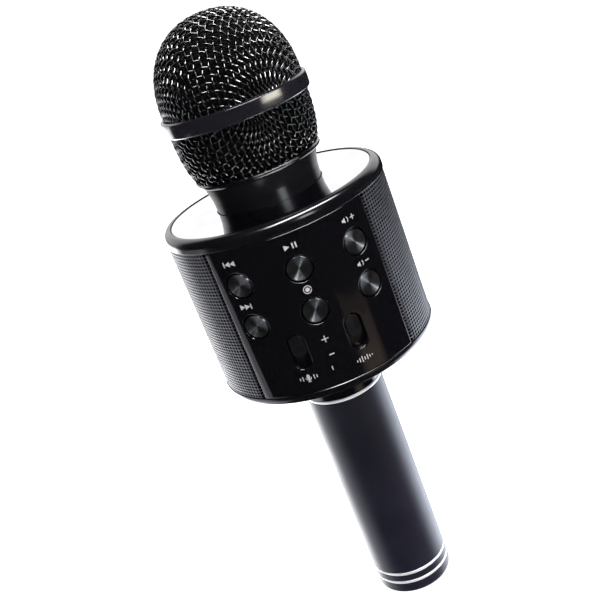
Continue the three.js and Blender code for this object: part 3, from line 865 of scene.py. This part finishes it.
def moved(part, x, y):
    return np.asarray(part[0], float) + (x, y, 0), part[1]


def block(width, depth, low, high, x=0.0, y=0.0, bevel=0.15):
    """An upright block with round corners."""
    outline = rounded(width, depth, min(0.3, width / 4, depth / 4), 3)
    return moved(extruded(outline, low, high, bevel), x, y)


for name, degrees in SLIDERS:
    knob = extruded(oval(2.65, 4.25, 18), 38.0, 40.55, 0.4, crown=-0.4)
    skirt = block(7.2, 18.4, 37.5, 38.2, 0, 0, 0.1)
    stem = block(2, 3, 34.8, 37.8)
    verts, faces = merge(knob, skirt, stem)
    piece(
        f"{name}_knob_piece", verts, faces, SLIDER, f"{name}_knob", f"{name}_slider",
        "slider_black", 35, facing(degrees, KNOB_Z),
    )


# ---- printed pictograms on the panel ----
def triangle(x, y, size, side):
    return [
        (x - side * size * 0.45, y - size / 2), (x + side * size * 0.55, y),
        (x - side * size * 0.45, y + size / 2),
    ][::side]


def box_line(x, y, width, height):
    w, h = width / 2, height / 2
    return [(x - w, y - h), (x + w, y - h), (x + w, y + h), (x - w, y + h)]


def cross(x, y, size, line):
    s, w = size / 2, line / 2
    return [
        (x + a, y + b)
        for a, b in (
            (-w, -s), (w, -s), (w, -w), (s, -w), (s, w), (w, w), (w, s), (-w, s), (-w, w),
            (-s, w), (-s, -w), (-w, -w),
        )
    ]


def speaker_sign(x, y, size):
    s = size / 2
    return [
        (x - s, y - s * 0.45), (x - s * 0.4, y - s * 0.45), (x + s * 0.3, y - s),
        (x + s * 0.3, y + s), (x - s * 0.4, y + s * 0.45), (x - s, y + s * 0.45),
    ]


def thick_arc(x, y, radius, start, end, line):
    outer = arc(x, y, radius + line / 2, start, end, 12)
    return outer + arc(x, y, radius - line / 2, end, start, 12)


UPPER_SIGNS, LOWER_SIGNS = 163.3, 147.5
SIGN = 1.9
INK_DEPTH = 0.05

# generic signs in place of the words: u runs round the housing and v up
h, line = SIGN, 0.42
u, v = along(-30.5), UPPER_SIGNS
marks = [box_line(u - 2.1, v, line, h), *(triangle(u + k, v, h, -1) for k in (-0.7, 1.2))]
u, v = along(-31), LOWER_SIGNS
marks += [*(triangle(u + k, v, h, 1) for k in (-1.2, 0.7)), box_line(u + 2.1, v, line, h)]
v = UPPER_SIGNS
marks += [triangle(-1.5, v, h, 1), box_line(0.6, v, 0.5, h), box_line(1.7, v, 0.5, h)]
v = LOWER_SIGNS
marks += [circle(0.75, 24, 0, v), thick_arc(0, v, 1.35, 0, 350, 0.28)]
u = along(30)
for v in (UPPER_SIGNS, LOWER_SIGNS):
    marks += [speaker_sign(u - 1.6, v, h), thick_arc(u - 1.4, v, 1.25, -42, 42, 0.28)]
    marks.append(
        cross(u + 1.8, v, h, 0.28) if v == UPPER_SIGNS else box_line(u + 1.7, v, 1.6, line)
    )
u, v = along(-14.6), 117.3
marks += [
    oval(0.55, 1.0, 8, u, v + 0.35),
    thick_arc(u, v + 0.2, 1.0, 180, 360, 0.26),
    box_line(u, v - 1.1, 0.26, 0.5),
    box_line(u, v - 1.4, 1.2, 0.26),
]
for k in (-2, -1, 1, 2):
    marks.append(box_line(u + k * 1.0 + math.copysign(1.0, k), v, 0.32, 2.3 - abs(k) * 0.6))
u, v = along(13.9), 116.8
for k, tall in enumerate((0.7, 1.5, 2.3, 1.2, 1.9, 1.0, 0.6)):
    marks.append(box_line(u + (k - 3) * 0.95, v, 0.34, tall))
marks += [cross(along(-0.7), 129.1, 2.5, 0.3), box_line(along(-0.2), 123.1, 1.8, line)]
marks.append(box_line(along(-2.2), 118.2, 0.3, 1.5))
mesh = plate_mesh(marks, INK_DEPTH, 0.0, 0)
mesh.transform(Matrix.Translation((0, 0, INK_DEPTH / 10)))
wrap(mesh, HOUSING_R, 0.8)
from_mesh("panel_pictograms", mesh, INK, "housing", sharp=30)


# ---- perforated speaker sheets ----
SHEET_R, SHEET_DEPTH = 40.7, 0.25
HOLE_ROUND, HOLE_UP = 1.5, 1.23  # pitch of the holes round the housing and up it
HOLE = 0.41  # radius of a hole, as a share of the pitch
# radius and thickness of the black sheet of painted shade behind each perforated sheet
SHADE_SHEET_R, SHADE_SHEET_DEPTH = 40.2, 0.15


def sheet_line():
    """The sheet's plan as (angle from -Y, radius): tucked in beside the panel, then round."""
    tuck = [
        (PANEL_HALF + 0.7 + 2.6 * t, SHEET_R - 2.2 * (1 - math.sqrt(1 - (1 - t) ** 2)))
        for t in np.linspace(0, 1, 24)
    ]
    return np.array(tuck + [(a, SHEET_R) for a in np.linspace(PANEL_HALF + 3.3, 177.4, 260)[1:]])


def upright(angle, radius, z):
    """Points on the housing, from angles in radians from -Y."""
    return np.stack([radius * np.sin(angle), -radius * np.cos(angle), z], -1).reshape(-1, 3)


def make_sheet(name, side):
    """A thin sheet with eight-sided holes, one to each cell of a grid."""
    line = sheet_line()
    bearing = np.radians(line[:, 0])
    x, y = line[:, 1] * np.sin(bearing), line[:, 1] * np.cos(bearing)
    run = np.concatenate([[0], np.cumsum(np.hypot(np.diff(x), np.diff(y)))])
    columns, rows = round(run[-1] / HOLE_ROUND), round((WINDOW_HIGH - WINDOW_LOW) / HOLE_UP)
    pitch_u, pitch_v = run[-1] / columns, (WINDOW_HIGH - WINDOW_LOW) / rows
    across, up = np.arange(columns + 1) * pitch_u, WINDOW_LOW + np.arange(rows + 1) * pitch_v
    cu, cv = np.meshgrid(across[:-1] + pitch_u / 2, up[:-1] + pitch_v / 2, indexing="ij")
    turn = np.radians(22.5 + 45 * np.arange(8))
    out = HOLE / math.cos(math.radians(22.5))
    hu = cu[..., None] + out * pitch_u * np.cos(turn)
    hv = cv[..., None] + out * pitch_v * np.sin(turn)
    gu, gv = np.meshgrid(across, up, indexing="ij")
    corner = np.arange(gu.size).reshape(gu.shape)
    rim = gu.size + np.arange(hu.size).reshape(hu.shape)
    u, v = np.concatenate([gu.ravel(), hu.ravel()]), np.concatenate([gv.ravel(), hv.ravel()])
    angle, radius = np.radians(np.interp(u, run, line[:, 0])) * side, np.interp(u, run, line[:, 1])
    verts = np.vstack([upright(angle, radius - depth, v) for depth in (0, SHEET_DEPTH)])
    c = [corner[1:, 1:], corner[:-1, 1:], corner[:-1, :-1], corner[1:, :-1]]
    count = len(u)
    faces = edge_strip(corner, count)
    for k in range(4):
        a, b, after = (rim[..., (2 * k + i) % 8] for i in range(3))
        for corners in ([c[k], b, a], [c[k], c[(k + 1) % 4], after, b]):
            faces += quads(*corners) + quads(*[one + count for one in corners[::-1]])
    for k in range(8):
        a, b = rim[..., k], rim[..., (k + 1) % 8]
        faces += quads(a, b, b + count, a + count)
    node = f"{name}_speaker_grille"
    piece(f"{name}_perforated_sheet", verts, faces, SHEET, "housing", node, "wire_mesh", 30)


def make_shade_sheet(name, side):
    """Thin black sheet behind the perforated sheet, which hides the inside of the housing: painted
    shade that stands in for the shade inside it.
    """
    bearings = np.radians(np.linspace(PANEL_HALF + 5, 177, 90)) * side
    heights = np.linspace(WINDOW_LOW + 0.3, WINDOW_HIGH - 0.3, 12)
    angle, z = np.meshgrid(bearings, heights, indexing="ij")
    verts = np.vstack([upright(angle, r, z) for r in (SHADE_SHEET_R, SHADE_SHEET_R - SHADE_SHEET_DEPTH)])
    grid = np.arange(angle.size).reshape(angle.shape)
    corners = [grid[:-1, :-1], grid[1:, :-1], grid[1:, 1:], grid[:-1, 1:]]
    faces = quads(*corners) + quads(*[one + grid.size for one in corners[::-1]])
    faces += edge_strip(grid, grid.size)
    piece(f"{name}_speaker_cloth", verts, faces, SHADE_SHEET, "housing", slot="foam", sharp=30)


SIDES = (("left", -1), ("right", 1))
for name, side in SIDES:
    make_sheet(name, side)
for name, side in SIDES:
    make_shade_sheet(name, side)


# ---- handle ----
HANDLE_R = 15.3

turned(
    "collar_cone",
    [
        (8, 80.5), (13.3, 80.5), (13.3, 93.1), (HANDLE_R, 93.1, 0.1), (HANDLE_R, 95.5, 6),
        (15.7, 99, 12), (16.5, 103, 14), (17.6, 107.8, 3), (17.6, 111.7), (22.4, 111.7),
        (22.4, 112.9), (8, 112.9),
    ],
    GLOSS, "housing", "handle_collar", "gloss_black",
)
turned(
    "handle_barrel",
    [
        (13.6, 8.8), (14.5, 8.8), (14.5, 10.1), (HANDLE_R, 10.1, 0.15), (HANDLE_R, 91.7, 0.15),
        (13.6, 91.7),
    ],
    SATIN, "housing", "handle_tube", "satin_black", 0.1,
)
for name, low, inner, body, node in (
    ("upper_bright_ring", 91.8, 13.6, "housing", "handle_top_ring"),
    ("lower_bright_ring", 8.8, 14.6, "housing", "handle_end_ring"),
    ("cap_bright_ring", 4.7, 14.5, "end_cap_unit", "end_cap_ring"),
):
    turned(
        name,
        [
            (inner, low), (HANDLE_R, low, 0.15), (HANDLE_R + 0.15, low + 0.3, 0.4),
            (HANDLE_R + 0.15, low + 0.9, 0.4), (HANDLE_R, low + 1.2, 0.15), (inner, low + 1.2),
        ],
        TRIM, body, node, "bright_trim", 0.0,
    )
turned(
    "screw_cap",
    [
        (0, 0), (14.1, 0, 0.3), (14.95, 0.35, 0.6), (HANDLE_R, 1.3, 0.8),
        (HANDLE_R, 4.65, 0.1), (14.4, 4.65), (14.4, 5.95), (HANDLE_R, 5.95, 0.1),
        (HANDLE_R, 8.7, 0.12), (13.3, 8.7), (13.3, 16), (10, 16), (10, 9), (0, 9),
    ],
    SATIN, "end_cap_unit", "end_cap", "satin_black", 0.1,
)


# ---- pieces inside ----
def coil(radii, heights, turns, wire_radius, steps=260):
    """A conical helix of round wire."""
    share = np.linspace(0, 1, steps)
    angle = 2 * math.pi * turns * share
    radius = np.interp(share, (0, 1), radii)
    route = np.stack(
        [radius * np.cos(angle), radius * np.sin(angle), np.interp(share, (0, 1), heights)], 1
    )
    side = np.stack([np.cos(angle), np.sin(angle), 0 * angle], 1)
    return tube(route, np.cross(side, np.gradient(route, axis=0)), wire_radius, 10)

turned(
    "capsule_can",
    [
        (0, 199.5), (7.6, 199.5, 0.3), (7.6, 205, 0.1), (7.35, 205.3, 0.1),
        (7.35, 206.2, 0.1), (7.6, 206.5, 0.1), (7.6, 209.5, 0.2), (8.6, 209.8, 0.25),
        (8.6, 212.8, 0.4), (7.9, 213.4, 0.3), (7.3, 213.6, 0.1), (7.1, 213.1, 0.05),
        (5.3, 213.1, 0.05), (5.1, 213.45, 0.05), (4.7, 213.45, 0.05), (4.5, 213.1, 0.05),
        (2.7, 213.1, 0.05), (2.5, 213.45, 0.05), (2.1, 213.45, 0.05), (1.9, 213.1, 0.05),
        (0, 213.1),
    ],
    STEEL, "housing", "capsule_cartridge", "steel", 0.1, 96,
)
ribs = []
for z in np.arange(190.2, 205.0, 2.4):
    ribs += [(9.6, z, 0.1), (9.3, z + 0.3, 0.1), (9.3, z + 0.9, 0.1), (9.6, z + 1.2, 0.1)]
turned(
    "capsule_cup",
    [
        (0, 178.3), (16.2, 178.3, 0.2), (16.2, 186.9, 0.6), (10.6, 186.9, 0.8),
        (9.6, 188.2, 0.6),
        *ribs,
        (9.6, 208.8, 0.4), (7.9, 208.8, 0.2), (7.9, 199.2), (0, 199.2),
    ],
    RUBBER, "housing", "capsule_cradle", "rubber", 0.1, 96,
)
verts, faces = coil((7.0, 4.0), (9.55, 12.05), 2.5, 0.4)
piece("contact_spring", verts, faces, STEEL, "end_cap_unit", "battery_spring", "steel", 40)
turned(
    "cell_jacket",
    [
        (7.4, 12.6), (8.6, 12.6, 0.2), (9.2, 13.1, 0.3), (9.2, 75.4, 0.2), (8.95, 75.8, 0.2),
        (8.95, 76.4, 0.2), (9.2, 76.8, 0.2), (9.1, 77.4, 0.3), (8.7, 77.6, 0.1), (7.4, 77.6),
    ],
    WRAP, "housing", "battery", "cell_wrap", 0.1, 96,
)
turned(
    "cell_can",
    [
        (0, 12.65), (7.4, 12.65), (7.4, 77.5, 0.1), (5.2, 77.5, 0.1), (5, 77.1, 0.1),
        (3.4, 77.1, 0.1), (3, 78.6, 0.3), (0, 78.6),
    ],
    STEEL, "housing", None, "steel", 0.1, 96,
)
turned(
    "cell_sleeve",
    [(9.6, 16.6, 0.3), (13.2, 16.6, 0.3), (13.2, 78.2, 0.3), (9.6, 78.2, 0.3)],
    INNER, "housing", "battery_sleeve", "inner_plastic", 0.1, 96,
)
verts, faces = block(2.8, 3.15, 111.65, 167.85, 0, 39.3, 0.3)
piece("rear_bar", verts, faces, GLOSS, "housing", "rear_spine", "gloss_black", 30)


def shifted(outline, distance, azimuth, turn=0.0):
    """Turns an outline round Z, then moves it out from the axis at an angle from +Y."""
    a, t = math.radians(azimuth), math.radians(turn)
    dx, dy = -distance * math.sin(a), distance * math.cos(a)
    return [
        (x * math.cos(t) - y * math.sin(t) + dx, x * math.sin(t) + y * math.cos(t) + dy)
        for x, y in outline
    ]


def slot_at(width, height, radius, distance, azimuth, turn=0.0):
    return shifted(rounded(width, height, radius, 5), distance, azimuth, turn)


CHARGING_Y = 24.5
PORT_OUT = 26.6  # from the axis out to the audio socket and to the card slot, which is turned
POWER_AT = (25.5, -1.3)

openings = [
    slot_at(8.2, 3.6, 1.6, CHARGING_Y, 0),
    shifted(circle(3.9, 40), PORT_OUT, -45),
    slot_at(14.6, 3.2, 0.5, PORT_OUT, 45, 45),
    slot_at(3.2, 6.4, 0.5, POWER_AT[0], -90),
    shifted(circle(1.4, 24), 25.5, 90),
]
plate = plate_mesh([circle(37.4, 160), circle(17.95, 96), *openings], 2.7, 0.15)
lift(plate, 110.05)
from_mesh("under_plate", plate, GLOSS, "housing", "bottom_plate", 30)

shell = [slot_at(w, h, r, CHARGING_Y, 0) for w, h, r in ((7.6, 3.0, 1.4), (6.8, 2.2, 1.0))]
shell = plate_mesh(shell, 6.8, 0.1)
lift(shell, 112.6)
from_mesh("charging_port", shell, STEEL, "housing", "charging_socket", 30)
verts, faces = merge(
    block(6.6, 2.0, 114.9, 115.9, 0, CHARGING_Y, 0.05),
    block(5.2, 0.6, 109.9, 115.2, 0, CHARGING_Y, 0.05),
)
piece("charging_tongue", verts, faces, INNER, "housing", slot="inner_plastic", sharp=30)

reader = [slot_at(w, h, r, PORT_OUT, 45, 45) for w, h, r in ((14, 2.6, 0.4), (11.6, 1.2, 0.3))]
reader = plate_mesh(reader, 14.8, 0.1)
lift(reader, 116.6)
from_mesh("card_reader", reader, STEEL, "housing", "card_slot", 30)

section = [(1.75, 108.9), (2.9, 108.9, 0.2), (3.6, 109.3, 0.3), (3.6, 121, 0.2)]
section += [(0, 121), (0, 119.5), (1.75, 119.5)]
centre = shifted([(0, 0)], PORT_OUT, -45)[0]
verts, faces = moved(lathe(soft(section, 0.1), 48), *centre)
piece("audio_port", verts, faces, INNER, "housing", "audio_socket", "slider_black", 30)

x, y = POWER_AT
verts, faces = merge(
    block(2.6, 3.0, 108.5, 111.8, x, y, 0.1),
    block(4.2, 4.4, 111.6, 112.2, x, y, 0.1),
    *(block(2.4, 0.3, 108.15, 108.7, x, y + k, 0.1) for k in (-1.0, -0.35, 0.35, 1.0)),
)
piece(
    "power_thumb", verts, faces, SLIDER, "power_knob", "power_switch_knob", "slider_black", 30
)


# ---- carried-over CAD nodes ----
CARRIED = (
    (RUBBER, ["capsule_lead"]),
    (INNER, ["speaker_frame", "microphone_volume_potentiometer", "effect_potentiometer"]),
    (STEEL, ["neck_screw_1", "neck_screw_2", "power_switch_body"]),
    (STEEL, [f"{side}_speaker_{p}" for side in ("left", "right") for p in ("basket", "magnet")]),
    (STEEL, [f"{name}_switch" for name, _, _ in BUTTONS]),
    (PAPER, ["left_speaker_cone", "right_speaker_cone"]),
    (BOARD, ["control_board"]),
    (LAMP, ["status_lamp"]),
    (GOLD, ["battery_contact"]),
)
for look, nodes in CARRIED:
    for node in nodes:
        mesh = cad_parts[node].data
        mesh.materials.clear()
        mesh.materials.append(look)


# ---- studio ----
HEAD = ("dome_weave", "bowl_weave", "head_band", "head_collar")
CAPS = [f"{name}_cap" for name, _, _ in BUTTONS]
# Soft boxes: name, azimuth from -Y, elevation, width, height, radiance, colour, lean in its
# plane and the only pieces it shines on. All angles are in degrees.
SOFT_BOXES = (
    ("key", 34, 66, 60, 13, 36, (1, 1, 1), 0, ()),
    ("window", 54, -3, 36, 8, 13, (1, 0.96, 0.84), 0, HEAD),
    ("glints", 34, 64, 44, 8, 42, (1, 1, 1), 0, HEAD[:2]),
    ("caps", 31, 21, 13, 13, 54, (0.92, 0.96, 1), 0, CAPS),
    ("wood", 38, -31, 26, 19, 0.32, (1, 0.78, 0.6), 0, ()),
    ("pale", 25, 19, 16, 26, 6.5, (0.9, 0.97, 1), 0, ()),
    ("left_low", -104, -36, 50, 46, 1.6, (0.9, 0.92, 1), 12, ()),
    ("left_back", -146, -26, 46, 50, 5.4, (0.96, 0.97, 1), 0, ()),
    ("right_low", 124, -42, 60, 42, 5.2, (0.82, 0.88, 1), 0, ()),
)
BOX_CENTRE, BOX_DISTANCE, BOX_STEP = Vector((0, 0, 0.16)), 1.3, 0.01
BOX_SHARES = (1.0, 0.82, 0.62)


def soft_box(name, azimuth, elevation, wide, tall, radiance, colour, lean, only):
    """Three lamps, one in front of the other and each smaller, so that the box's edge is soft."""
    lit = None
    if only:
        lit = bpy.data.collections.new(f"{name}_lights")
        for one in only:
            lit.objects.link(bpy.data.objects[one])
    a, e = math.radians(azimuth), math.radians(elevation)
    out = Vector((math.sin(a) * math.cos(e), -math.cos(a) * math.cos(e), math.sin(e)))
    for k, share in enumerate(BOX_SHARES):
        width = 2 * BOX_DISTANCE * math.tan(math.radians(wide / 2)) * share
        height = 2 * BOX_DISTANCE * math.tan(math.radians(tall / 2)) * share
        data = bpy.data.lights.new(f"{name}_{k + 1}", "AREA")
        data.shape = "RECTANGLE"
        data.size, data.size_y = width, height
        data.energy = radiance / len(BOX_SHARES) * math.pi * width * height
        data.color = colour
        lamp = add_object(data.name, data)
        lamp.location = BOX_CENTRE + out * (BOX_DISTANCE + BOX_STEP * k)
        lamp.rotation_euler = (-out).to_track_quat("-Z", "Y").to_euler()
        lamp.rotation_euler.rotate_axis("Z", math.radians(lean))
        lamp.visible_camera = False
        if lit:
            lamp.light_linking.receiver_collection = lit


DARK, SKY_TINT, WHITE = 0.012, (1.0, 0.98, 1.0, 1), (1, 1, 1, 1)
# the bright back wall: axis of the direction, where it starts and is full, and its strength
WALL = (("Y", 0.45, 0.7, 1.15), ("Z", -0.06, 0.14, 1.0))


def make_world():
    """What the camera sees is white; surfaces reflect a dark room with a bright back wall."""
    world = bpy.data.worlds.new("studio")
    scene.world = world
    world.use_nodes = True
    tree = world.node_tree
    tree.nodes.clear()
    link = tree.links.new

    def add(kind):
        return tree.nodes.new("ShaderNode" + kind)

    out, mix = add("OutputWorld"), add("MixShader")
    room, white = add("Background"), add("Background")
    path, place = add("LightPath"), add("TexCoord")
    split, wall = add("SeparateXYZ"), add("Math")
    wall.operation = "MULTIPLY"
    link(place.outputs["Generated"], split.inputs[0])
    for k, (axis, start, full, strength) in enumerate(WALL):
        ramp = add("MapRange")
        ramp.interpolation_type = "SMOOTHSTEP"
        keys = ("From Min", "From Max", "To Min", "To Max")
        for key, value in zip(keys, (start, full, DARK, strength)):
            ramp.inputs[key].default_value = value
        link(split.outputs[axis], ramp.inputs["Value"])
        link(ramp.outputs[0], wall.inputs[k])
    room.inputs["Color"].default_value = SKY_TINT
    link(wall.outputs[0], room.inputs["Strength"])
    white.inputs["Color"].default_value = WHITE
    white.inputs["Strength"].default_value = 1.02
    for k, output in enumerate((path.outputs["Is Camera Ray"], room.outputs[0], white.outputs[0])):
        link(output, mix.inputs[k])
    link(mix.outputs[0], out.inputs[0])


def make_floor():
    mesh = bpy.data.meshes.new("floor")
    half = 30.0
    corners = [(-half, -half, 0), (half, -half, 0), (half, half, 0), (-half, half, 0)]
    mesh.from_pydata(corners, [], [(0, 1, 2, 3)])
    floor = add_object("floor", mesh)
    floor.location = (0, 0, -0.0004)
    s = Shader("floor_paper")
    s.set(
        Base_Color=s.ramp(s.noise(9, 4), (0.3, (0.84, 0.84, 0.84)), (0.7, (0.88, 0.88, 0.88))),
        Roughness=0.9, Emission_Color=WHITE, Emission_Strength=0.97,
    )
    mesh.materials.append(s.material)
    floor.visible_glossy = False
    floor.visible_shadow = False
    floor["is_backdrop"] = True


make_world()
make_floor()
for box in SOFT_BOXES:
    soft_box(*box)
scene.view_settings.view_transform = "Standard"
scene.view_settings.look = "None"

low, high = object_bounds()
